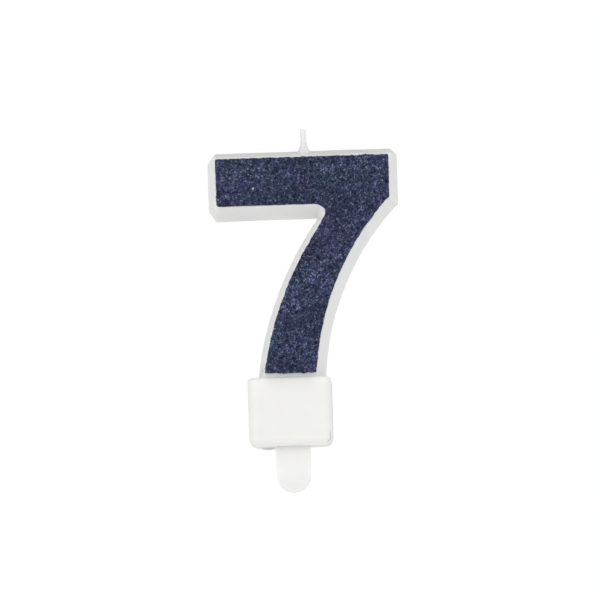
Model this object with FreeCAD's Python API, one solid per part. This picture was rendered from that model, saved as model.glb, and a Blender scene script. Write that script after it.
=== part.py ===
import FreeCAD, Part
import math
import os
from collections import namedtuple
from FreeCAD import Vector

os.makedirs("parts", exist_ok=True)

# Number candle: a wax figure 7 whose foot drops into a holder with a flat cake pick.
# The origin is the centre of the holder's underside, where it rests on the cake.
# X runs along the bar of the 7, -Y is the glittered front, +Z is up. Lengths in mm.

Arc = namedtuple("Arc", "x z r")
Cut = namedtuple("Cut", "run rise")
Outline = namedtuple("Outline", "left right top bottom inner outer right_cut left_cut low_cut armpit_r")

# Figure outline on the flat front face. The stem's two sides are circular arcs.
# The cuts are the bevels of the bar's upper right, upper left and lower left corners.
front = Outline(
    left=-18.55,
    right=28.6,
    top=78.15,
    bottom=64.8,
    inner=Arc(86.8, 5.2, 94.6),
    outer=Arc(82.4, 14.3, 74.9),
    right_cut=Cut(0.3, 0.3),
    left_cut=Cut(0.3, 0.3),
    low_cut=Cut(0.3, 0.3),
    armpit_r=2.5,
)

# Outline at its widest, near the back. The sides flare from one outline to the other.
wide = Outline(
    left=-20.9,
    right=30.7,
    top=80.9,
    bottom=62.3,
    inner=Arc(83.65, 7.2, 93.0),
    outer=Arc(82.0, 14.7, 72.3),
    right_cut=Cut(1.8, 1.8),
    left_cut=Cut(2.3, 3.0),
    low_cut=Cut(2.0, 3.1),
    armpit_r=0.3,
)

# Rounding below the bar's right end, at every depth
shoulder_r = 0.4

# Figure depth, and the bevels round its front and back faces
figure_half = 5.0
front_break = 0.3
back_break = 0.7

# Foot of the figure, inside the holder
foot_half_x = 9.8
foot_half_y = 5.25
foot_bottom = 3.25
foot_top = 17.0
foot_edge_r = 1.0
foot_lead = 0.8

# Wick: straight down into the bar, then an easy double bend into the stem
wick_r = 0.8
wick_x = 5.53
wick_tip = 85.9
wick_bend_top = 77.0
bend_r = 9.0
bend_deg = 50.0
return_r = 12.0
lean_deg = 32.0
stem_r = 80.0
stem_deg = 22.0
collar_r = 2.1
collar_base = 79.4
collar_waist_r = 1.28
collar_waist = 81.0
collar_top = 82.6

# Coats on the front face
coat_inset = 0.2
coat_bottom = 19.15
bond_t = 0.15
glitter_t = 0.35
glitter_inset = 0.1

# Holder
holder_half_x = 11.25
holder_half_y = 7.0
holder_h = 18.2
holder_wall = 1.25
holder_floor = 2.2
holder_side_r = 2.6
holder_rim_r = 1.1
holder_base_r = 2.4
cavity_r = 0.9
rib_x = 5.5
rib_r = 0.6
rib_gap = 0.03
rib_top = 15.5

# Pick, its middle a little to the right of the holder's
pick_x = 0.37
pick_half_root = 4.75
pick_half_tip = 4.55
pick_tip = -12.5
pick_t = 1.8
pick_edge_r = 0.4
head_half_x = 6.5
head_half_y = 1.9
head_t = 1.0


def at(x, z, y=0.0):
    return Vector(x, y, z)


def side_x(side, z):
    """Where a stem side lies at a height."""
    return side.x - math.sqrt(side.r ** 2 - (z - side.z) ** 2)


def arc(a, b, c):
    return Part.Arc(a, b, c).toShape()


def block(half_x, half_y, bottom, top):
    """Box centred on the Z axis."""
    corner = Vector(-half_x, -half_y, bottom)
    return Part.makeBox(2 * half_x, 2 * half_y, top - bottom, corner)


def runs_along(edge, axis):
    ends = edge.Vertexes
    step = ends[-1].Point - ends[0].Point
    return step.Length > 1e-6 and abs(step.normalize().dot(axis)) > 0.999


def level_edges(solid, height):
    """Edges lying wholly in the horizontal plane at one height."""
    spans = [(e, e.BoundBox) for e in solid.Edges]
    return [e for e, b in spans if abs(b.ZMin - height) < 1e-6 and abs(b.ZMax - height) < 1e-6]


def rounded_block(half_x, half_y, bottom, top, radius):
    solid = block(half_x, half_y, bottom, top)
    upright = [e for e in solid.Edges if runs_along(e, Vector(0, 0, 1))]
    return solid.makeFillet(radius, upright)


def grown(shape, amount):
    """An outline with every side moved outwards."""
    return shape._replace(
        left=shape.left - amount,
        right=shape.right + amount,
        top=shape.top + amount,
        bottom=shape.bottom - amount,
        inner=shape.inner._replace(r=shape.inner.r + amount),
        outer=shape.outer._replace(r=shape.outer.r - amount),
        armpit_r=shape.armpit_r - amount,
    )


def corners(shape):
    """Armpit, lower left, upper left, upper right and shoulder, still sharp."""
    shoulder = shape.outer.z + math.sqrt(shape.outer.r ** 2 - (shape.outer.x - shape.right) ** 2)
    return [
        at(side_x(shape.inner, shape.bottom), shape.bottom),
        at(shape.left, shape.bottom),
        at(shape.left, shape.top),
        at(shape.right, shape.top),
        at(shape.right, shoulder),
    ]


def sharp_wire(shape, low):
    """The 7 with sharp corners, its stem cut off level at a height."""
    points = corners(shape)
    armpit = points[0]
    shoulder = points[-1]
    mid_out = (shoulder.z + low) / 2
    mid_in = (armpit.z + low) / 2
    low_out = at(side_x(shape.outer, low), low)
    low_in = at(side_x(shape.inner, low), low)
    edges = [Part.makeLine(a, b) for a, b in zip(points, points[1:])]
    edges.append(arc(shoulder, at(side_x(shape.outer, mid_out), mid_out), low_out))
    edges.append(Part.makeLine(low_out, low_in))
    edges.append(arc(low_in, at(side_x(shape.inner, mid_in), mid_in), armpit))
    return Part.Wire(edges)


def crease(slab, corner):
    """The slab's depthwise edge at a corner of its outline."""
    return [e for e in slab.Edges if runs_along(e, Vector(0, 1, 0)) and e.distToShape(corner)[0] < 1e-6]


def wedge(corner, run, rise):
    """What a bevel takes off a slab's corner."""
    sides = Part.makePolygon([corner, corner + at(run, 0), corner + at(0, rise), corner])
    return Part.Face(sides).extrude(Vector(0, 1, 0))


def outline_wire(shape, low, depth):
    """The 7 at a depth, with its armpit and shoulder rounded and the bar's other corners cut."""
    armpit, low_left, top_left, top_right, shoulder = corners(shape)
    slab = Part.Face(sharp_wire(shape, low)).extrude(Vector(0, 1, 0))
    slab = slab.makeFillet(shape.armpit_r, crease(slab, Part.Vertex(armpit)))
    slab = slab.makeFillet(shoulder_r, crease(slab, Part.Vertex(shoulder)))
    bevels = [
        wedge(low_left, shape.low_cut.run, shape.low_cut.rise),
        wedge(top_left, shape.left_cut.run, -shape.left_cut.rise),
        wedge(top_right, -shape.right_cut.run, -shape.right_cut.rise),
    ]
    slab = slab.cut(bevels)
    wire = [f for f in slab.Faces if abs(f.BoundBox.YMax) < 1e-6][0].OuterWire
    wire.translate(Vector(0, depth, 0))
    return wire


def polar(centre, radius, angle):
    return centre + at(math.cos(angle), math.sin(angle)) * radius


def swept(centre, radius, start, end):
    """Arc about a centre from one angle to another."""
    return arc(*[polar(centre, radius, a) for a in (start, (start + end) / 2, end)])


def wick_path():
    """Tangent chain: straight, bend to the right, return bend to the left, long arc down the stem."""
    bend = math.radians(bend_deg)
    lean = math.radians(lean_deg)
    start = at(wick_x, wick_bend_top)
    first = at(wick_x + bend_r, wick_bend_top)
    second = polar(first, bend_r + return_r, math.pi + bend)
    third = polar(second, return_r + stem_r, -lean)
    chain = [Part.makeLine(at(wick_x, wick_tip), start)]
    chain.append(swept(first, bend_r, math.pi, math.pi + bend))
    chain.append(swept(second, return_r, bend, -lean))
    chain.append(swept(third, stem_r, math.pi - lean, math.pi - lean + math.radians(stem_deg)))
    return Part.Wire(chain)


def make_wick():
    disc = Part.Wire(Part.makeCircle(wick_r, at(wick_x, wick_tip), Vector(0, 0, -1)))
    cord = wick_path().makePipeShell([disc], True, False)
    return cord.makeFillet(0.35, level_edges(cord, wick_tip))


def make_collar():
    """Wax drawn up around the wick: a ring with a hollow flank."""
    low = at(wick_x + collar_r, collar_base)
    high = at(wick_x + wick_r + 0.1, collar_top)
    waist = at(wick_x + collar_waist_r, collar_waist)
    edges = [
        Part.makeLine(at(wick_x, collar_base - 1), at(low.x, collar_base - 1)),
        Part.makeLine(at(low.x, collar_base - 1), low),
        arc(low, waist, high),
        Part.makeLine(high, at(wick_x, collar_top)),
        Part.makeLine(at(wick_x, collar_top), at(wick_x, collar_base - 1)),
    ]
    return Part.Face(Part.Wire(edges)).revolve(at(wick_x, 0), Vector(0, 0, 1), 360)


def make_foot():
    foot = rounded_block(foot_half_x, foot_half_y, foot_bottom, foot_top, foot_edge_r)
    foot = foot.makeChamfer(foot_lead, level_edges(foot, foot_bottom))
    return foot.makeFillet(0.4, level_edges(foot, foot_top))


def make_figure(wick):
    """Flared figure on its foot, with the wick's channel through it."""
    stations = [
        (-figure_half, front),
        (-figure_half + front_break, grown(front, front_break)),
        (figure_half - back_break, wide),
        (figure_half, grown(wide, -back_break)),
    ]
    body = Part.makeLoft([outline_wire(shape, foot_top - 5, y) for y, shape in stations], True, True)
    body = body.cut(block(40, 20, 0, foot_top - 0.5))
    body = body.fuse([make_foot(), make_collar()]).removeSplitter()
    return body.cut(wick)


def make_coat(inset, back, thickness):
    """Thin plate with the outline of the 7, standing forward of a plane."""
    wire = outline_wire(grown(front, -inset), coat_bottom + inset, back)
    return Part.Face(wire).extrude(Vector(0, -thickness, 0))


def make_pick():
    """Blade with a round end, and a head that stops it pulling down through the holder's floor."""
    end_z = pick_tip + pick_half_tip
    root = pick_half_root
    tip = pick_half_tip
    back = pick_t / 2
    edges = [
        Part.makeLine(at(-root, holder_floor, back), at(root, holder_floor, back)),
        Part.makeLine(at(root, holder_floor, back), at(root, 0, back)),
        Part.makeLine(at(root, 0, back), at(tip, end_z, back)),
        arc(at(tip, end_z, back), at(0, pick_tip, back), at(-tip, end_z, back)),
        Part.makeLine(at(-tip, end_z, back), at(-root, 0, back)),
        Part.makeLine(at(-root, 0, back), at(-root, holder_floor, back)),
    ]
    blade = Part.Face(Part.Wire(edges)).extrude(Vector(0, -pick_t, 0))
    rims = [e for e in blade.Edges if abs(e.BoundBox.YLength) < 1e-6 and e.BoundBox.ZMin < holder_floor - 0.1]
    blade = blade.makeFillet(pick_edge_r, rims)
    head = rounded_block(head_half_x, head_half_y, holder_floor, holder_floor + head_t, 0.8)
    pick = blade.fuse(head).removeSplitter()
    pick.translate(Vector(pick_x, 0, 0))
    return pick


def make_rib(x, side):
    """Half-round grip rib on the front or back wall, tapering away at the top."""
    centre = foot_half_y + rib_gap + rib_r
    spot = Vector(x, side * centre, holder_floor - 0.5)
    column = Part.makeCylinder(rib_r, rib_top - holder_floor - 1.0, spot)
    lead = Part.makeCone(rib_r, 0.1, 1.5, Vector(x, side * centre, rib_top - 1.5))
    return column.fuse(lead)


def make_holder(pick):
    body = rounded_block(holder_half_x, holder_half_y, 0, holder_h, holder_side_r)
    body = body.makeFillet(holder_base_r, level_edges(body, 0))
    body = body.makeFillet(holder_rim_r, level_edges(body, holder_h))
    inner_half_x = holder_half_x - holder_wall
    inner_half_y = holder_half_y - holder_wall
    cavity = rounded_block(inner_half_x, inner_half_y, holder_floor, holder_h + 1, cavity_r)
    body = body.cut(cavity)
    ribs = [make_rib(x, side) for x in (-rib_x, rib_x) for side in (-1, 1)]
    return body.fuse(ribs).removeSplitter().cut(pick)


def export(shape, node):
    shape.exportStep("parts/" + node + ".step")


wick = make_wick()
pick = make_pick()
export(make_figure(wick), "wax_figure")
export(wick, "wick")
export(make_coat(coat_inset, -figure_half, bond_t), "bond_coat")
export(make_coat(coat_inset + glitter_inset, -figure_half - bond_t, glitter_t), "glitter_layer")
export(make_holder(pick), "holder")
export(pick, "pick")
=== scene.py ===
import math
from collections import namedtuple

import bmesh
import bpy
import numpy as np
from mathutils import Matrix, Vector, noise
from mathutils.bvhtree import BVHTree
from mathutils.kdtree import KDTree


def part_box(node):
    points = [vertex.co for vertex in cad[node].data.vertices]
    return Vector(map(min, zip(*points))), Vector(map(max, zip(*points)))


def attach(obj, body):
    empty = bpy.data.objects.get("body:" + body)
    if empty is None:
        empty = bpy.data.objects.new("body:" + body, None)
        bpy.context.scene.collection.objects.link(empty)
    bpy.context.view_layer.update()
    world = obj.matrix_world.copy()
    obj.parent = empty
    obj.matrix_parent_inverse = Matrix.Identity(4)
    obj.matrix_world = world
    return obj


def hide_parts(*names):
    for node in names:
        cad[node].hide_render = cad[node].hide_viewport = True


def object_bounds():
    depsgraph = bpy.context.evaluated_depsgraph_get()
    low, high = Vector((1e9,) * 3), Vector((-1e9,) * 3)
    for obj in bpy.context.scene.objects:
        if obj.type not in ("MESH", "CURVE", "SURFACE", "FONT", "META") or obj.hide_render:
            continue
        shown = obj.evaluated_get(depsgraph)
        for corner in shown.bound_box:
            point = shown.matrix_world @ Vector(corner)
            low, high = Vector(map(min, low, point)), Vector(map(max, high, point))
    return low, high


MM = 0.001
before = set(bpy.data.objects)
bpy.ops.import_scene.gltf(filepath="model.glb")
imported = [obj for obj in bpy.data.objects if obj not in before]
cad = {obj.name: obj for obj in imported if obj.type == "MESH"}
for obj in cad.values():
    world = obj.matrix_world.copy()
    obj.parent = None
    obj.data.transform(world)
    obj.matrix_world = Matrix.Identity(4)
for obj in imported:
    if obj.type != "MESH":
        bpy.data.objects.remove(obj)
rest_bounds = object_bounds()
rng = np.random.default_rng(7)

FIGURE = "figure_body"
HOLDER = "holder_body"
holder_lo, holder_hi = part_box("holder")
pick_lo, pick_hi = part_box("pick")
wick_lo, wick_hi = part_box("wick")
glitter_lo, glitter_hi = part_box("glitter_layer")
wax_lo, wax_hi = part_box("wax_figure")

# The studio's white as the camera sees it, and its light: an even part and what each direction adds
WORLD_SEEN = 1.02
WORLD_EVEN = 0.96
WORLD_FRONT = -0.28
WORLD_SIDE = 0.01
WORLD_UP = -0.14
WORLD_POLE = -0.42

# Glow of the floor: as light close to the pick and far from it, and as the camera sees it
GLOW_CLOSE = 0.455
GLOW_FAR = 0.26
GLOW_SEEN = 0.27

FLAKE_THICKNESS = 0.025 * MM

# A spot where the edge of the coats stands off its line: where, how far it moves, how wide. In mm.
Nick = namedtuple("Nick", "x z dx dz reach")
NICKS = (
    Nick(x=10.9, z=63.6, dx=0.30, dz=-0.05, reach=0.7),
    Nick(x=10.4, z=60.6, dx=-0.35, dz=0.1, reach=0.9),
    Nick(x=9.4, z=64.6, dx=0.0, dz=-0.12, reach=0.7),
)

# Loose flakes on the white margin: where, above the holder's rim, how spread out, how many. In mm.
Spill = namedtuple("Spill", "x z spread count")
SPILLS = (
    Spill(x=-7.1, z=2.2, spread=0.5, count=8),
    Spill(x=-6.6, z=8.6, spread=0.35, count=2),
    Spill(x=-18.9, z=50.0, spread=0.3, count=1),
)


# ---------------------------------------------------------------- meshes

def cad_arrays(node):
    """Vertices and triangles of a CAD node, doubles merged."""
    bm = bmesh.new()
    bm.from_mesh(cad[node].data)
    bmesh.ops.remove_doubles(bm, verts=bm.verts, dist=1e-7)
    bmesh.ops.triangulate(bm, faces=bm.faces)
    bm.verts.ensure_lookup_table()
    co = np.array([v.co for v in bm.verts])
    tri = np.array([[v.index for v in f.verts] for f in bm.faces])
    bm.free()
    return co, tri


def add_mesh(name, co, faces, smooth=True):
    """A new object in the scene, from points and faces."""
    mesh = bpy.data.meshes.new(name)
    faces = faces if isinstance(faces, list) else faces.tolist()
    mesh.from_pydata(np.asarray(co).tolist(), [], faces)
    mesh.validate()
    if smooth:
        mesh.polygons.foreach_set("use_smooth", [True] * len(mesh.polygons))
    obj = bpy.data.objects.new(name, mesh)
    bpy.context.scene.collection.objects.link(obj)
    return obj


def remeshed(name, node, voxel, smooth_steps):
    """A fine even skin of a CAD node, edges softened."""
    co, tri = cad_arrays(node)
    obj = add_mesh(name, co, tri)
    mod = obj.modifiers.new("remesh", "REMESH")
    mod.mode = "VOXEL"
    mod.voxel_size = voxel
    mod = obj.modifiers.new("soft", "SMOOTH")
    mod.factor = 0.5
    mod.iterations = smooth_steps
    bpy.context.view_layer.update()
    evaluated = obj.evaluated_get(bpy.context.evaluated_depsgraph_get())
    mesh = bpy.data.meshes.new_from_object(evaluated)
    obj.modifiers.clear()
    obj.data = mesh
    mesh.name = name
    mesh.polygons.foreach_set("use_smooth", [True] * len(mesh.polygons))
    return obj


def get_co(obj):
    """An object's vertices, one row each."""
    co = np.zeros(len(obj.data.vertices) * 3)
    obj.data.vertices.foreach_get("co", co)
    return co.reshape(-1, 3)


def get_normals(obj):
    """The normal at each vertex, one row each."""
    no = np.zeros(len(obj.data.vertices) * 3)
    obj.data.vertex_normals.foreach_get("vector", no)
    return no.reshape(-1, 3)


def set_co(obj, co):
    obj.data.vertices.foreach_set("co", np.asarray(co).ravel())
    obj.data.update()


def wave_noise(co, size, seed, octaves=3):
    """Smooth noise in -1..1 at each point, with features of about the given size."""
    shift = Vector((seed * 3.7, seed * 1.3, -seed * 2.1))
    values = [noise.fractal(Vector(p) / size + shift, 0.6, 2.0, octaves) for p in co]
    return np.array(values)


def attribute(obj, name, values):
    """One number for each vertex, for the material to read."""
    layer = obj.data.attributes.new(name, "FLOAT", "POINT")
    layer.data.foreach_set("value", np.asarray(values, np.float32))


def tube(path, radius, sides=8):
    """Vertices and faces of a closed round tube along a path; radius may vary from point to point."""
    path = np.asarray(path, float)
    radius = np.broadcast_to(radius, len(path))
    step = np.gradient(path, axis=0)
    step /= np.linalg.norm(step, axis=1)[:, None]
    side = np.cross(step[0], [0.0, 1.0, 0.0])
    if np.linalg.norm(side) < 0.1:
        side = np.cross(step[0], [1.0, 0.0, 0.0])
    rings = []
    for point, direction, r in zip(path, step, radius):
        side = side - direction * (side @ direction)
        side /= np.linalg.norm(side)
        other = np.cross(direction, side)
        turn = np.arange(sides) * 2 * math.pi / sides
        rings.append(point + r * (np.cos(turn)[:, None] * side + np.sin(turn)[:, None] * other))
    co = np.concatenate(rings)
    faces = []
    for i in range(len(path) - 1):
        for j in range(sides):
            k = (j + 1) % sides
            faces.append([i * sides + j, i * sides + k, (i + 1) * sides + k, (i + 1) * sides + j])
    faces.append(list(range(sides))[::-1])
    faces.append([(len(path) - 1) * sides + j for j in range(sides)])
    return co, faces


def joined(parts):
    """Several sets of points and faces as one."""
    co, faces, base = [], [], 0
    for part_co, part_faces in parts:
        co.append(part_co)
        faces += [[i + base for i in f] for f in part_faces]
        base += len(part_co)
    return np.concatenate(co), faces


# ---------------------------------------------------------------- materials

def material(name):
    """A new material with its nodes, its links and its main shader."""
    mat = bpy.data.materials.new(name)
    mat.use_nodes = True
    nodes = mat.node_tree.nodes
    return mat, nodes, mat.node_tree.links, nodes["Principled BSDF"]


def noise_node(nodes, links, scale, detail=3.0, roughness=0.5):
    """Noise fixed to the object. A scale of 1000 gives features of about a millimetre."""
    place = nodes.new("ShaderNodeTexCoord")
    tex = nodes.new("ShaderNodeTexNoise")
    tex.inputs["Scale"].default_value = scale
    tex.inputs["Detail"].default_value = detail
    tex.inputs["Roughness"].default_value = roughness
    links.new(place.outputs["Object"], tex.inputs["Vector"])
    return tex


def ramp(nodes, links, source, low, high, start=0.3, end=0.7):
    """Colours from low to high as the source goes from start to end."""
    node = nodes.new("ShaderNodeValToRGB")
    node.color_ramp.elements[0].position = start
    node.color_ramp.elements[1].position = end
    node.color_ramp.elements[0].color = (*low, 1)
    node.color_ramp.elements[1].color = (*high, 1)
    links.new(source, node.inputs["Fac"])
    return node


def bump(nodes, links, source, bsdf, strength, distance):
    """Fine relief from a source. The distance is in metres."""
    node = nodes.new("ShaderNodeBump")
    node.inputs["Strength"].default_value = strength
    node.inputs["Distance"].default_value = distance
    links.new(source, node.inputs["Height"])
    links.new(node.outputs["Normal"], bsdf.inputs["Normal"])


def math_node(nodes, links, operation, first, second):
    """A node that combines two sockets or numbers."""
    node = nodes.new("ShaderNodeMath")
    node.operation = operation
    for slot, value in zip(node.inputs, (first, second)):
        if isinstance(value, (int, float)):
            slot.default_value = value
        else:
            links.new(value, slot)
    return node.outputs["Value"]


def scatter(bsdf, weight, radius, scale):
    """How much light sinks in, and how far."""
    bsdf.inputs["Subsurface Weight"].default_value = weight
    bsdf.inputs["Subsurface Radius"].default_value = radius
    bsdf.inputs["Subsurface Scale"].default_value = scale


def wax_material():
    """Cloudy wax. Light sinks into it, but not into the thin collar on the wick."""
    mat, nodes, links, bsdf = material("cast_wax")
    cloud = noise_node(nodes, links, 90.0, 4.0)
    tint = ramp(nodes, links, cloud.outputs["Fac"], (0.80, 0.808, 0.80), (0.86, 0.865, 0.855))
    links.new(tint.outputs["Color"], bsdf.inputs["Base Color"])
    sinking = 0.8
    scatter(bsdf, sinking, (1.0, 0.95, 0.85), 2.2 * MM)
    collar = nodes.new("ShaderNodeAttribute")
    collar.attribute_name = "collar"
    weight = map_range(nodes, links, collar.outputs["Fac"], 0, 1, sinking, 0.0)
    links.new(weight, bsdf.inputs["Subsurface Weight"])
    bsdf.inputs["Roughness"].default_value = 0.42
    bsdf.inputs["Specular IOR Level"].default_value = 0.35
    grain = noise_node(nodes, links, 1500.0, 5.0, 0.6)
    bump(nodes, links, grain.outputs["Fac"], bsdf, 0.35, 0.05 * MM)
    return mat


def plastic_material(name, low, high, weight, shade=None):
    """Moulded plastic between two tones, with painted shade where the vertex attribute named by shade is
    high.
    """
    mat, nodes, links, bsdf = material(name)
    cloud = noise_node(nodes, links, 120.0, 3.0)
    tint = ramp(nodes, links, cloud.outputs["Fac"], low, high)
    colour = tint.outputs["Color"]
    if shade:
        painted_shade = nodes.new("ShaderNodeAttribute")
        painted_shade.attribute_name = shade
        mix = nodes.new("ShaderNodeMix")
        mix.data_type = "RGBA"
        links.new(painted_shade.outputs["Fac"], mix.inputs["Factor"])
        links.new(colour, mix.inputs["A"])
        # The colour the painted shade darkens towards.
        mix.inputs["B"].default_value = (0.70, 0.70, 0.675, 1)
        colour = mix.outputs["Result"]
    links.new(colour, bsdf.inputs["Base Color"])
    scatter(bsdf, weight, (1.0, 0.95, 0.88), 1.6 * MM)
    bsdf.inputs["Roughness"].default_value = 0.38
    grain = noise_node(nodes, links, 2200.0, 4.0, 0.6)
    bump(nodes, links, grain.outputs["Fac"], bsdf, 0.25, 0.03 * MM)
    return mat


def map_range(nodes, links, source, low, high, to_low, to_high):
    """A source stretched from one range of numbers to another."""
    node = nodes.new("ShaderNodeMapRange")
    node.inputs["From Min"].default_value = low
    node.inputs["From Max"].default_value = high
    node.inputs["To Min"].default_value = to_low
    node.inputs["To Max"].default_value = to_high
    links.new(source, node.inputs["Value"])
    return node.outputs["Result"]


def painted_heap_light(nodes, links, colour):
    """A colour with painted light on the heaps of glitter and painted shade between them, and drifting
    slowly in hue.
    """
    purple, teal = (1.087, 0.974, 1.052), (0.93, 1.044, 0.965)
    # Painted light and shade: flakes brighter on the heaps and darker between them, where deeper flakes lie
    # in shade.
    fine = noise_node(nodes, links, 950.0, 3.0, 0.65)
    heap = map_range(nodes, links, fine.outputs["Fac"], 0.33, 0.67, 0.33, 1.66)
    wide = noise_node(nodes, links, 130.0, 2.0)
    patch = map_range(nodes, links, wide.outputs["Fac"], 0.3, 0.7, 0.66, 1.34)
    drift = noise_node(nodes, links, 75.0, 1.0)
    hue = ramp(nodes, links, drift.outputs["Fac"], purple, teal, 0.4, 0.6)
    lit = nodes.new("ShaderNodeVectorMath")
    lit.operation = "SCALE"
    links.new(colour, lit.inputs[0])
    links.new(math_node(nodes, links, "MULTIPLY", heap, patch), lit.inputs["Scale"])
    tinted = nodes.new("ShaderNodeVectorMath")
    tinted.operation = "MULTIPLY"
    links.new(lit.outputs["Vector"], tinted.inputs[0])
    links.new(hue.outputs["Color"], tinted.inputs[1])
    return tinted.outputs["Vector"]


def flake_material(name, low, high, metallic, roughness):
    """Metallised film. Each flake has its own tone between two colours."""
    mat, nodes, links, bsdf = material(name)
    info = nodes.new("ShaderNodeNewGeometry")
    tint = ramp(nodes, links, info.outputs["Random Per Island"], low, high, 0.0, 1.0)
    links.new(painted_heap_light(nodes, links, tint.outputs["Color"]), bsdf.inputs["Base Color"])
    bsdf.inputs["Metallic"].default_value = metallic
    bsdf.inputs["Roughness"].default_value = roughness
    return mat


def ground_material():
    """Dark speckled bed, seen between the flakes, with painted shade in the hollows of its relief."""
    mat, nodes, links, bsdf = material("navy_ground")
    speck = noise_node(nodes, links, 3200.0, 2.0, 0.7)
    # Painted shade: the bed is darker in the hollows of its speckled relief and lighter on its heaps.
    hollow, heap = (0.012, 0.017, 0.055), (0.040, 0.050, 0.115)
    tint = ramp(nodes, links, speck.outputs["Fac"], hollow, heap, 0.35, 0.68)
    links.new(tint.outputs["Color"], bsdf.inputs["Base Color"])
    bsdf.inputs["Roughness"].default_value = 0.5
    bsdf.inputs["Specular IOR Level"].default_value = 0.15
    bump(nodes, links, speck.outputs["Fac"], bsdf, 0.8, 0.12 * MM)
    return mat


def film_material():
    """Dried navy adhesive."""
    mat, nodes, links, bsdf = material("navy_adhesive_film")
    patch = noise_node(nodes, links, 600.0, 3.0)
    tint = ramp(nodes, links, patch.outputs["Fac"], (0.015, 0.018, 0.045), (0.04, 0.045, 0.09))
    links.new(tint.outputs["Color"], bsdf.inputs["Base Color"])
    bsdf.inputs["Roughness"].default_value = 0.6
    bsdf.inputs["Specular IOR Level"].default_value = 0.2
    bump(nodes, links, patch.outputs["Fac"], bsdf, 0.4, 0.05 * MM)
    return mat


def cotton_material():
    """Cotton thread stiff with wax."""
    mat, nodes, links, bsdf = material("waxed_cotton")
    fibre = noise_node(nodes, links, 4000.0, 3.0, 0.7)
    tint = ramp(nodes, links, fibre.outputs["Fac"], (0.85, 0.85, 0.845), (0.89, 0.89, 0.885))
    links.new(tint.outputs["Color"], bsdf.inputs["Base Color"])
    bsdf.inputs["Roughness"].default_value = 0.6
    bsdf.inputs["Specular IOR Level"].default_value = 0.3
    bump(nodes, links, fibre.outputs["Fac"], bsdf, 0.3, 0.03 * MM)
    return mat


# ---------------------------------------------------------------- wax figure

def drawn_collar(co):
    """The wax drawn up around the wick, thinned to a fine lip on the cord."""
    axis_x = wick_line(10)[0, 0]
    lip, flare = 0.84, 0.52
    flare_fall = 0.6 * MM
    top = (co[:, 2] > wax_hi.z - 2.0 * MM) & (np.hypot(co[:, 0] - axis_x, co[:, 1]) < 2.3 * MM)
    height = co[top, 2] - (wax_hi.z - 1.7 * MM)
    limit = (lip + flare * np.exp(-height / flare_fall)) * MM
    reach = np.hypot(co[top, 0] - axis_x, co[top, 1])
    shrink = np.minimum(1, limit / np.maximum(reach, 1e-9))
    co[top, 0] = axis_x + (co[top, 0] - axis_x) * shrink
    co[top, 1] *= shrink
    return co


def sunken_back(co, no):
    """How far the back face sank as the wax cooled: least at its rim, most in the middle, rippled."""
    deepest, fall = 0.38 * MM, 2.2 * MM
    back = np.clip((co[:, 1] - 4.6 * MM) / (0.3 * MM), 0, 1) * np.clip(no[:, 1], 0, 1)
    back *= co[:, 2] > 18 * MM
    rim = co[(co[:, 1] > 3.6 * MM) & (co[:, 1] < 4.4 * MM)]
    near = DistanceXZ(rim).to(co[back > 0])
    sink = np.zeros(len(co))
    sink[back > 0] = deepest * (1 - np.exp(-np.maximum(near - 0.8 * MM, 0) / fall))
    ripple = 0.035 * MM * wave_noise(co * [1, 0.2, 1], 3.2 * MM, 3, 2)
    return back * (sink + ripple)


def hanging_bar(co, no):
    """How far the bar's underside hangs below the CAD's: more towards the back and the left end."""
    everywhere, at_end, fall = 0.17, 0.30, 3.5 * MM
    under = np.clip(-no[:, 2] * 1.4, 0, 1) * np.clip((co[:, 1] - wax_lo.y) / (9 * MM), 0, 1)
    under *= (co[:, 2] > 61 * MM) & (co[:, 2] < 66 * MM) & (co[:, 0] < 8 * MM)
    return under * (everywhere + at_end * np.exp(-(co[:, 0] - wax_lo.x) / fall)) * MM


def make_wax():
    """The figure: uneven as cast wax is, but true at its flat front and on its foot."""
    obj = remeshed("wax_figure_skin", "wax_figure", 0.22 * MM, 3)
    co, no = get_co(obj), get_normals(obj)
    lift = 0.05 * MM * wave_noise(co, 9 * MM, 1) + 0.018 * MM * wave_noise(co, 1.6 * MM, 2)
    front = co[:, 1] < wax_lo.y + 0.45 * MM
    lift[front] = 0
    foot = co[:, 2] < 17.3 * MM
    lift[foot] = np.minimum(lift[foot], 0)
    lift -= sunken_back(co, no)
    co = co + no * lift[:, None]
    co[:, 2] -= hanging_bar(co, no)
    set_co(obj, drawn_collar(co))
    attribute(obj, "collar", np.clip((co[:, 2] - wax_hi.z + 2.6 * MM) / (0.8 * MM), 0, 1))
    obj.data.materials.append(wax_material())
    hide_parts("wax_figure")
    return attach(obj, FIGURE)


class DistanceXZ:
    """Distance in the XZ plane to a cloud of points, thinned to one in each square cell."""

    def __init__(self, points):
        cell = 0.2 * MM
        cells = np.unique(np.round(points[:, [0, 2]] / cell).astype(int), axis=0)
        self.tree = KDTree(len(cells))
        for i, (x, z) in enumerate(cells):
            self.tree.insert((x * cell, 0, z * cell), i)
        self.tree.balance()

    def to(self, points):
        return np.array([self.tree.find((p[0], 0, p[2]))[2] for p in points])


# ---------------------------------------------------------------- glitter

def edge_drift(co):
    """Sideways shift that makes the edges of the coats waver, most of all low on the stem."""
    flat = co * [1, 0, 1]
    low = 1 + 1.2 * np.exp(-(co[:, 2] - glitter_lo.z) / (1.5 * MM))
    size = 0.13 * MM * low
    shift = np.zeros(co.shape)
    shift[:, 0] = size * (wave_noise(flat, 1.5 * MM, 51, 2) + 0.5 * wave_noise(flat, 5 * MM, 52, 1))
    shift[:, 2] = size * (wave_noise(flat, 1.5 * MM, 53, 2) + 0.5 * wave_noise(flat, 5 * MM, 54, 1))
    for nick in NICKS:
        away = (co[:, 0] - nick.x * MM) ** 2 + (co[:, 2] - nick.z * MM) ** 2
        near = np.exp(-away / (nick.reach * MM) ** 2)
        shift[:, 0] += nick.dx * MM * near
        shift[:, 2] += nick.dz * MM * near
    return shift


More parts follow.
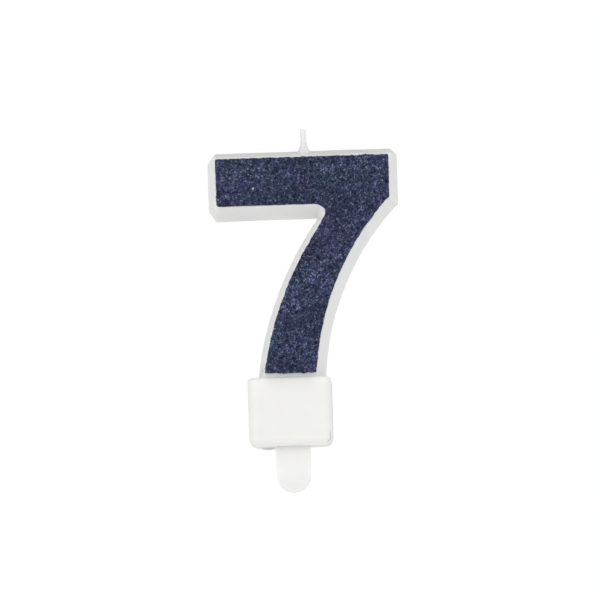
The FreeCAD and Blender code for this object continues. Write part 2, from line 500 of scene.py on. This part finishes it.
def front_triangles(obj):
    """Triangles of an object that face forwards, and their normals."""
    mesh = obj.data
    mesh.calc_loop_triangles()
    tri = np.array([t.vertices[:] for t in mesh.loop_triangles])
    corners = get_co(obj)[tri]
    normals = np.cross(corners[:, 1] - corners[:, 0], corners[:, 2] - corners[:, 0])
    area = np.linalg.norm(normals, axis=1)
    normals /= np.maximum(area, 1e-20)[:, None]
    ahead = normals[:, 1] < -0.6
    return corners[ahead], normals[ahead], area[ahead]


def sample(surface, count):
    """Random points spread evenly over triangles, with the normal at each."""
    triangles, normals, area = surface
    a, b, c = triangles[:, 0], triangles[:, 1], triangles[:, 2]
    pick = rng.choice(len(triangles), count, p=area / area.sum())
    u, v = rng.random(count), rng.random(count)
    over = u + v > 1
    u[over], v[over] = 1 - u[over], 1 - v[over]
    return a[pick] + u[:, None] * (b - a)[pick] + v[:, None] * (c - a)[pick], normals[pick]


def flakes(centres, normals, radii):
    """Closed thin hexagonal prisms at the centres, facing along the normals."""
    sides = 6
    count = len(centres)
    helper = rng.normal(size=(count, 3))
    side = np.cross(normals, helper)
    side /= np.linalg.norm(side, axis=1)[:, None]
    other = np.cross(normals, side)
    turn = np.arange(sides) * 2 * math.pi / sides
    ring = side[:, None, :] * np.cos(turn)[None, :, None] + other[:, None, :] * np.sin(turn)[None, :, None]
    ring = ring * radii[:, None, None]
    half = (normals * FLAKE_THICKNESS / 2)[:, None, :]
    co = np.concatenate([centres[:, None, :] + ring + half, centres[:, None, :] + ring - half], axis=1)
    quads = [[i, i + sides, (i + 1) % sides + sides, (i + 1) % sides] for i in range(sides)]
    faces = []
    for i in range(count):
        base = i * 2 * sides
        faces.append([base + j for j in range(sides)])
        faces.append([base + 2 * sides - 1 - j for j in range(sides)])
        faces += [[base + j for j in quad] for quad in quads]
    return co.reshape(-1, 3), faces


def add_flakes(name, centres, normals, radii, mat):
    """Flakes as one piece that rides with the figure."""
    obj = add_mesh(name, *flakes(centres, normals, radii), smooth=False)
    obj.data.materials.append(mat)
    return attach(obj, FIGURE)


def make_flakes(name, mat, surface, count, spread, rise):
    """Flakes strewn over the ground, tilted at random about its slope."""
    centres, normals = sample(surface, count)
    normals = normals + rng.normal(0, math.tan(math.radians(spread)), (count, 3))
    normals /= np.linalg.norm(normals, axis=1)[:, None]
    centres[:, 1] -= rng.uniform(0.0, rise, count)
    radii = rng.uniform(0.14, 0.29, count) * MM
    return add_flakes(name, centres, normals, radii, mat)


def make_glint():
    """One large flake that catches the light, left of the bar's middle."""
    x, z, radius = -8.35 * MM, 69.65 * MM, 0.36 * MM
    centre = np.array([[x, glitter_lo.y - 0.10 * MM, z]])
    normal = np.array([[-0.316, -0.948, 0.04]])
    mirror = flake_material("flake_mirror", (0.32, 0.35, 0.44), (0.34, 0.37, 0.46), 1.0, 0.3)
    return add_flakes("flake_glint", centre, normal, np.array([radius]), mirror)


def make_ground():
    """The bed the flakes lie on: heaps and hollows about a millimetre across."""
    obj = remeshed("glitter_ground", "glitter_layer", 0.16 * MM, 1)
    co, no = get_co(obj), get_normals(obj)
    rough = 0.11 * MM * wave_noise(co, 1.0 * MM, 11, 2) + 0.05 * MM * wave_noise(co, 0.4 * MM, 12, 1)
    inside = np.clip((co[:, 1] - glitter_hi.y + 0.08 * MM) / (0.08 * MM), 0, 1)
    set_co(obj, co + no * (rough * (1 - inside))[:, None] + edge_drift(co))
    obj.data.materials.append(ground_material())
    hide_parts("glitter_layer")
    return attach(obj, FIGURE)


def make_film():
    """The adhesive film: the CAD coat with a wavering brushed edge."""
    obj = remeshed("bond_film", "bond_coat", 0.12 * MM, 0)
    co, no = get_co(obj), get_normals(obj)
    offset = 0.04 * MM + 0.06 * MM * wave_noise(co, 0.8 * MM, 21, 3)
    side = np.linalg.norm(no[:, [0, 2]], axis=1)
    move = no * (offset * side)[:, None]
    move[:, 1] = 0
    set_co(obj, co + move + edge_drift(co))
    obj.data.materials.append(film_material())
    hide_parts("bond_coat")
    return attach(obj, FIGURE)


def make_strays(wax, mat):
    """A few loose flakes that came to rest on the white margin, most of them low on the stem."""
    rim = holder_hi.z
    in_front = -0.05
    spots = []
    for spill in SPILLS:
        for _ in range(spill.count):
            x = spill.x * MM + rng.normal(0, spill.spread * MM * 0.6)
            z = rim + spill.z * MM + rng.normal(0, spill.spread * MM)
            spots.append((x, z))
    tree = BVHTree.FromObject(wax, bpy.context.evaluated_depsgraph_get())
    centres, normals = [], []
    for x, z in spots:
        hit, normal, _, _ = tree.ray_cast(Vector((x, in_front, z)), Vector((0, 1, 0)))
        if hit is not None and normal.y < -0.05 and z > rim + 0.8 * MM:
            centres.append(hit + normal * 0.02 * MM)
            normals.append(normal)
    radii = rng.uniform(0.10, 0.17, len(centres)) * MM
    return add_flakes("stray_flakes", np.array(centres), np.array(normals), radii, mat)


# ---------------------------------------------------------------- wick

def wick_line(count):
    """Centre line of the CAD wick, from its tip down, read from level cuts through its mesh."""
    co, tri = cad_arrays("wick")
    edges = np.concatenate([tri[:, [0, 1]], tri[:, [1, 2]], tri[:, [2, 0]]])
    a, b = co[edges[:, 0]], co[edges[:, 1]]
    first, last = wick_hi.z - 0.02 * MM, wick_lo.z + 0.9 * MM
    line = []
    for z in np.linspace(first, last, count):
        across = (a[:, 2] - z) * (b[:, 2] - z) < 0
        share = (z - a[across, 2]) / (b[across, 2] - a[across, 2])
        cut = a[across] + share[:, None] * (b[across] - a[across])
        line.append([(cut[:, 0].min() + cut[:, 0].max()) / 2, 0.0, z])
    return np.array(line)


def braid(line):
    """A round core with four strands wound over it each way, passing over and under each other."""
    core_r, strand_r = 0.70 * MM, 0.18 * MM
    pitch = 3.6 * MM
    strands = 4
    step = np.gradient(line, axis=0)
    step /= np.linalg.norm(step, axis=1)[:, None]
    run = np.concatenate([[0], np.cumsum(np.linalg.norm(np.diff(line, axis=0), axis=1))])
    side = np.tile([0.0, 1.0, 0.0], (len(line), 1))
    other = np.cross(step, side)
    parts = [tube(line, core_r, 20)]
    for hand, start, under in ((1, 0.4, 0), (-1, 0, math.pi)):
        for k in range(strands):
            angle = hand * (2 * math.pi * run / pitch) + 2 * math.pi * k / strands + start
            weave = np.cos(strands * 2 * math.pi * run / pitch + math.pi * (k % 2) + under)
            reach = (0.63 + 0.03 * weave) * MM
            offset = reach[:, None] * (np.cos(angle)[:, None] * side + np.sin(angle)[:, None] * other)
            parts.append(tube(line + offset, strand_r, 8))
    return joined(parts)


def make_wick():
    """The cord along the CAD wick's line, cut at a slant and a little narrower at its tip."""
    line = wick_line(700)
    for _ in range(6):
        line[1:-1] = (line[:-2] + 2 * line[1:-1] + line[2:]) / 4
    obj = add_mesh("wick_braid", *braid(line))
    co = get_co(obj)
    tip = np.clip((co[:, 2] - wick_hi.z + 0.5 * MM) / (0.5 * MM), 0, 1)
    axis_x = line[0, 0]
    narrowing = 0.12
    co[:, 0] = axis_x + (co[:, 0] - axis_x) * (1 - narrowing * tip ** 2)
    co[:, 1] *= 1 - narrowing * tip ** 2
    co[:, 2] += 0.1 * MM * tip - 0.30 * tip * (co[:, 0] - axis_x)
    set_co(obj, co)
    obj.data.materials.append(cotton_material())
    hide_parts("wick")
    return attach(obj, FIGURE)


def make_fuzz():
    """Cut fibre ends standing out of the wick's tip."""
    fibres, fibre_r = 34, 0.03 * MM
    parts = []
    axis_x = wick_line(10)[0, 0]
    for _ in range(fibres):
        angle = rng.uniform(0, 2 * math.pi)
        reach = rng.uniform(0.05, 0.5) * MM
        start = np.array([axis_x + reach * math.cos(angle), reach * math.sin(angle), wick_hi.z - 0.3 * MM])
        lean = rng.normal(0, 0.25, 2) + 0.25 * np.array([math.cos(angle), math.sin(angle)])
        length = rng.uniform(0.2, 0.42) * MM
        t = np.linspace(0, 1, 6)[:, None]
        straight = t * length * np.array([lean[0], lean[1], 1.0])
        curl = t ** 2 * length * 0.3 * rng.normal(0, 0.4, 3)
        parts.append(tube(start + straight + curl, fibre_r * (1.2 - 0.5 * t[:, 0]), 5))
    obj = add_mesh("wick_fibre_ends", *joined(parts))
    obj.data.materials.append(bpy.data.materials["waxed_cotton"])
    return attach(obj, FIGURE)


# ---------------------------------------------------------------- holder and pick

def holder_shade(co):
    """Painted shade on the holder: under the figure at the front of its rim, and round its base."""
    across = np.clip(1 - (np.abs(co[:, 0] - 0.3 * MM) - 4.0 * MM) / (4.5 * MM), 0, 1)
    down = np.exp(-(holder_hi.z - co[:, 2]) / (1.8 * MM))
    shade = across * across * (3 - 2 * across) * down * (co[:, 1] < -5 * MM)
    shade += 0.32 * np.exp(-np.maximum(co[:, 2] - 0.3 * MM, 0) / (2.8 * MM)) * (co[:, 2] > 0.2 * MM)
    return shade


def make_holder():
    """The holder: walls slightly hollow in the middle, as a moulding's are, and true inside."""
    obj = remeshed("holder_shell", "holder", 0.2 * MM, 3)
    co, no = get_co(obj), get_normals(obj)
    outer = (np.abs(co[:, 0]) > 10.4 * MM) | (np.abs(co[:, 1]) > 6.2 * MM) | (co[:, 2] < 1.2 * MM)
    lift = 0.03 * MM * wave_noise(co, 6 * MM, 31, 2)
    belly = np.exp(-((co[:, 2] - 9.5 * MM) / (5 * MM)) ** 2) * np.exp(-(co[:, 0] / (7 * MM)) ** 2)
    lift -= 0.10 * MM * belly * (np.abs(no[:, 1]) > 0.8)
    set_co(obj, co + no * (lift * outer)[:, None])
    # Painted shade under the figure and round the base, kept as the attribute the cream plastic reads.
    attribute(obj, "shade", holder_shade(get_co(obj)))
    cream = plastic_material("cream_plastic", (0.905, 0.895, 0.855), (0.93, 0.92, 0.885), 0.7, "shade")
    obj.data.materials.append(cream)
    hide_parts("holder")
    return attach(obj, HOLDER)


def make_parting_line():
    """Raised witness line round the holder where the two mould halves met, in a darker tone that is painted
    shade along the line.
    """
    half_x, bottom = holder_hi.x, holder_lo.z
    corner_r, line_r = 2.4 * MM, 0.09 * MM
    top = holder_hi.z - 1.4 * MM
    pick_middle = (pick_lo.x + pick_hi.x) / 2
    wall_points, floor_points = 30, 16
    paths = []
    for sign in (-1, 1):
        turn = np.linspace(0, math.pi / 2, 16)
        corner = np.array([sign * (half_x - corner_r), 0, bottom + corner_r])
        bend = corner + corner_r * np.stack([sign * np.cos(turn), 0 * turn, -np.sin(turn)], 1)
        rise = np.linspace(top, bottom + corner_r, wall_points)
        wall = np.stack([np.full(wall_points, sign * half_x), np.zeros(wall_points), rise], 1)
        run = np.linspace(sign * (half_x - corner_r), pick_middle + sign * 4.9 * MM, floor_points)
        under = np.stack([run, np.zeros(floor_points), np.full(floor_points, bottom)], 1)
        paths.append(np.concatenate([wall[:-1], bend, under[1:]]))
    obj = add_mesh("holder_parting_line", *joined([tube(path, line_r, 6) for path in paths]))
    # The darker tone is painted shade along the raised line.
    obj.data.materials.append(plastic_material("cream_flash_painted_shade", (0.74, 0.74, 0.71), (0.82, 0.82, 0.79), 0.3))
    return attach(obj, HOLDER)


def make_corner_shadow_line(shell):
    """A fine dark line of painted shadow that follows the holder's lower right corner on its front."""
    x, z, radius = 9.35 * MM, 1.75 * MM, 1.3 * MM
    straight_top, shadow_line_r = 3.3 * MM, 0.10 * MM
    in_front = -0.05
    turn = np.linspace(0, math.radians(78), 22)
    spots = [(x + radius, h) for h in np.linspace(straight_top, z, 12)[:-1]]
    spots += [(x + radius * math.cos(t), z - radius * math.sin(t)) for t in turn]
    tree = BVHTree.FromObject(shell, bpy.context.evaluated_depsgraph_get())
    path = []
    for px, pz in spots:
        hit, normal, _, _ = tree.ray_cast(Vector((px, in_front, pz)), Vector((0, 1, 0)))
        path.append(hit + normal * 0.01 * MM)
    taper = np.sin(np.linspace(0.15, math.pi - 0.15, len(path))) ** 0.5
    obj = add_mesh("holder_corner_shadow_line", *tube(np.array(path), shadow_line_r * taper, 8))
    # Painted shadow: a dark tube stands in for the shade along the corner.
    obj.data.materials.append(plastic_material("crease_shadow", (0.42, 0.41, 0.38), (0.52, 0.51, 0.47), 0.2))
    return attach(obj, HOLDER)


def make_gate_mark():
    """The torn stub of the moulding gate under the holder, left of the pick, in a darker tone that is
    painted shade.
    """
    half_size = np.array([1.8, 1.3, 0.5]) * MM
    middle = np.array([-6.4 * MM, 3.3 * MM, holder_lo.z])
    bm = bmesh.new()
    bmesh.ops.create_icosphere(bm, subdivisions=5, radius=1.0)
    co = np.array([v.co for v in bm.verts])
    faces = [[v.index for v in f.verts] for f in bm.faces]
    bm.free()
    co *= half_size
    tear = 0.14 * MM * wave_noise(co, 0.7 * MM, 61, 3)
    co += co / np.linalg.norm(co, axis=1)[:, None] * tear[:, None]
    obj = add_mesh("holder_gate_mark", co + middle, faces)
    # Painted shade: the stub's dark tone stands in for the shadow under the holder.
    obj.data.materials.append(plastic_material("gate_stub_painted_shade", (0.56, 0.56, 0.51), (0.70, 0.70, 0.65), 0.3))
    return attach(obj, HOLDER)


def make_pick():
    """The pick: a shallow hollow along each side of its blade, and painted shade towards its tip."""
    obj = remeshed("pick_blade", "pick", 0.14 * MM, 3)
    co, no = get_co(obj), get_normals(obj)
    lift = 0.02 * MM * wave_noise(co, 4 * MM, 41, 2)
    blade = co[:, 2] < -0.3 * MM
    middle = (pick_lo.x + pick_hi.x) / 2
    sink = np.exp(-((co[:, 0] - middle) / (2.6 * MM)) ** 2) * np.clip((-co[:, 2] - 1 * MM) / (3 * MM), 0, 1)
    sink *= np.clip((co[:, 2] - pick_lo.z - 1.5 * MM) / (2 * MM), 0, 1)
    lift = np.where(blade, lift - 0.12 * MM * sink * np.abs(no[:, 1]), 0)
    set_co(obj, co + no * lift[:, None])
    # Painted shade, growing towards the pick's tip.
    shaded = 5 * MM
    attribute(obj, "shade", 0.4 * np.clip((pick_lo.z + shaded - co[:, 2]) / shaded, 0, 1))
    white = plastic_material("white_plastic", (0.825, 0.825, 0.825), (0.85, 0.85, 0.852), 0.6, "shade")
    obj.data.materials.append(white)
    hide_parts("pick")
    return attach(obj, HOLDER)


# ---------------------------------------------------------------- stage

def floor_glow(nodes, links, away):
    """The floor's own light: strongest close to the pick, but even all over to the camera."""
    as_light = map_range(nodes, links, away, 0.02, 0.11, GLOW_CLOSE, GLOW_FAR)
    path = nodes.new("ShaderNodeLightPath")
    unseen = map_range(nodes, links, path.outputs["Is Camera Ray"], 0, 1, 1, 0)
    extra = math_node(nodes, links, "SUBTRACT", as_light, GLOW_SEEN)
    extra = math_node(nodes, links, "MULTIPLY", extra, unseen)
    return math_node(nodes, links, "ADD", extra, GLOW_SEEN)


def floor_material(centre):
    """Pale and even, fading out away from the centre, and not seen from below."""
    fade_start, fade_end = 0.10, 0.50
    mat, nodes, links, bsdf = material("pale_floor")
    cloud = noise_node(nodes, links, 3.0)
    tint = ramp(nodes, links, cloud.outputs["Fac"], (0.64, 0.64, 0.64), (0.68, 0.68, 0.68))
    links.new(tint.outputs["Color"], bsdf.inputs["Base Color"])
    bsdf.inputs["Emission Color"].default_value = (1, 1, 1, 1)
    bsdf.inputs["Roughness"].default_value = 0.9
    bsdf.inputs["Specular IOR Level"].default_value = 0.1
    place = nodes.new("ShaderNodeNewGeometry")
    away = nodes.new("ShaderNodeVectorMath")
    away.operation = "DISTANCE"
    links.new(place.outputs["Position"], away.inputs[0])
    away.inputs[1].default_value = centre
    links.new(floor_glow(nodes, links, away.outputs["Value"]), bsdf.inputs["Emission Strength"])
    fade = nodes.new("ShaderNodeMapRange")
    fade.interpolation_type = "SMOOTHSTEP"
    fade.inputs["From Min"].default_value = fade_start
    fade.inputs["From Max"].default_value = fade_end
    links.new(away.outputs["Value"], fade.inputs["Value"])
    clear_part = math_node(nodes, links, "MAXIMUM", fade.outputs["Result"], place.outputs["Backfacing"])
    clear = nodes.new("ShaderNodeBsdfTransparent")
    mix = nodes.new("ShaderNodeMixShader")
    links.new(clear_part, mix.inputs["Fac"])
    links.new(bsdf.outputs["BSDF"], mix.inputs[1])
    links.new(clear.outputs["BSDF"], mix.inputs[2])
    links.new(mix.outputs["Shader"], nodes["Material Output"].inputs["Surface"])
    return mat


def make_floor():
    """Round floor just under the pick."""
    middle = (rest_bounds[0] + rest_bounds[1]) / 2
    centre = Vector((middle.x, middle.y, pick_lo.z - 0.4 * MM))
    radius, sides = 0.6, 64
    turn = np.arange(sides) * 2 * math.pi / sides
    rim = np.array(centre) + radius * np.stack([np.cos(turn), np.sin(turn), 0 * turn], 1)
    obj = add_mesh("studio_floor", rim, [list(range(sides))], smooth=False)
    obj.data.materials.append(floor_material(centre))


def make_world():
    """White to the camera. As light, brightest low in front and dimmest overhead and behind."""
    world = bpy.data.worlds.new("studio")
    bpy.context.scene.world = world
    world.use_nodes = True
    nodes, links = world.node_tree.nodes, world.node_tree.links
    nodes.clear()
    out = nodes.new("ShaderNodeOutputWorld")
    seen = nodes.new("ShaderNodeBackground")
    seen.inputs["Color"].default_value = (1, 1, 1, 1)
    seen.inputs["Strength"].default_value = WORLD_SEEN
    lamp = nodes.new("ShaderNodeBackground")
    lamp.inputs["Color"].default_value = (1, 1, 1, 1)
    place = nodes.new("ShaderNodeTexCoord")
    split = nodes.new("ShaderNodeSeparateXYZ")
    links.new(place.outputs["Generated"], split.inputs["Vector"])
    x, y, z = [split.outputs[axis] for axis in "XYZ"]
    front = math_node(nodes, links, "MULTIPLY", y, WORLD_FRONT)
    side = math_node(nodes, links, "MULTIPLY", x, WORLD_SIDE)
    pole = math_node(nodes, links, "MULTIPLY", math_node(nodes, links, "MULTIPLY", z, z), WORLD_POLE)
    pole = math_node(nodes, links, "ADD", pole, math_node(nodes, links, "MULTIPLY", z, WORLD_UP))
    strength = math_node(nodes, links, "ADD", math_node(nodes, links, "ADD", front, side), pole)
    links.new(math_node(nodes, links, "ADD", strength, WORLD_EVEN), lamp.inputs["Strength"])
    path = nodes.new("ShaderNodeLightPath")
    mix = nodes.new("ShaderNodeMixShader")
    links.new(path.outputs["Is Camera Ray"], mix.inputs["Fac"])
    links.new(lamp.outputs["Background"], mix.inputs[1])
    links.new(seen.outputs["Background"], mix.inputs[2])
    links.new(mix.outputs["Shader"], out.inputs["Surface"])


def softbox(name, place, aim, size, power):
    """A square area light that faces a point."""
    data = bpy.data.lights.new(name, "AREA")
    data.shape = "SQUARE"
    data.size = size
    data.energy = power
    obj = bpy.data.objects.new(name, data)
    bpy.context.scene.collection.objects.link(obj)
    obj.location = place
    obj.rotation_mode = "QUATERNION"
    obj.rotation_quaternion = (Vector(aim) - Vector(place)).to_track_quat("-Z", "Y")


def make_lights():
    """Two weak softboxes in front, one to each side."""
    centre = (rest_bounds[0] + rest_bounds[1]) / 2
    softbox("key", centre + Vector((-0.5, -0.6, 0.2)), centre, 0.4, 0.5)
    softbox("fill", centre + Vector((0.6, -0.55, 0.05)), centre, 0.4, 0.3)


def make_camera():
    """A long lens a little below the candle, turned slightly to its right and rolled a touch."""
    azimuth, elevation, roll = math.radians(1.5), math.radians(-7.2), math.radians(1.65)
    distance = 1.5
    centre = (rest_bounds[0] + rest_bounds[1]) / 2
    target = Vector((centre.x - 1.523 * MM, 0.0, centre.z + 2.933 * MM))
    back = Vector((
        math.sin(azimuth) * math.cos(elevation),
        -math.cos(azimuth) * math.cos(elevation),
        math.sin(elevation),
    ))
    right = (-back).cross(Vector((0, 0, 1))).normalized()
    up = right.cross(-back)
    rolled_right = math.cos(roll) * right - math.sin(roll) * up
    rolled_up = math.sin(roll) * right + math.cos(roll) * up
    data = bpy.data.cameras.new("camera")
    data.sensor_width = 36.0
    data.lens = 333.3
    data.clip_start, data.clip_end = 0.01, 20.0
    obj = bpy.data.objects.new("camera", data)
    bpy.context.scene.collection.objects.link(obj)
    place = target + back * distance
    axes = Matrix((rolled_right, rolled_up, back)).transposed().to_4x4()
    obj.matrix_world = Matrix.Translation(place) @ axes
    bpy.context.scene.camera = obj


wax = make_wax()
ground = make_ground()
bed = front_triangles(ground)
make_film()
navy = flake_material("flake_navy", (0.026, 0.032, 0.076), (0.070, 0.083, 0.156), 1.0, 0.38)
slate = flake_material("flake_slate", (0.070, 0.083, 0.146), (0.130, 0.147, 0.222), 1.0, 0.38)
bright = flake_material("flake_bright", (0.18, 0.20, 0.27), (0.30, 0.33, 0.42), 0.9, 0.3)
make_flakes("flakes_navy", navy, bed, 7600, 18, 0.10 * MM)
make_flakes("flakes_slate", slate, bed, 5000, 18, 0.12 * MM)
make_flakes("flakes_bright", bright, bed, 24, 12, 0.13 * MM)
make_glint()
make_strays(wax, navy)
make_wick()
make_fuzz()
shell = make_holder()
make_parting_line()
make_corner_shadow_line(shell)
make_gate_mark()
make_pick()
make_floor()
make_world()
make_lights()
make_camera()
bpy.context.scene.view_settings.view_transform = "Standard"

bpy.context.view_layer.update()
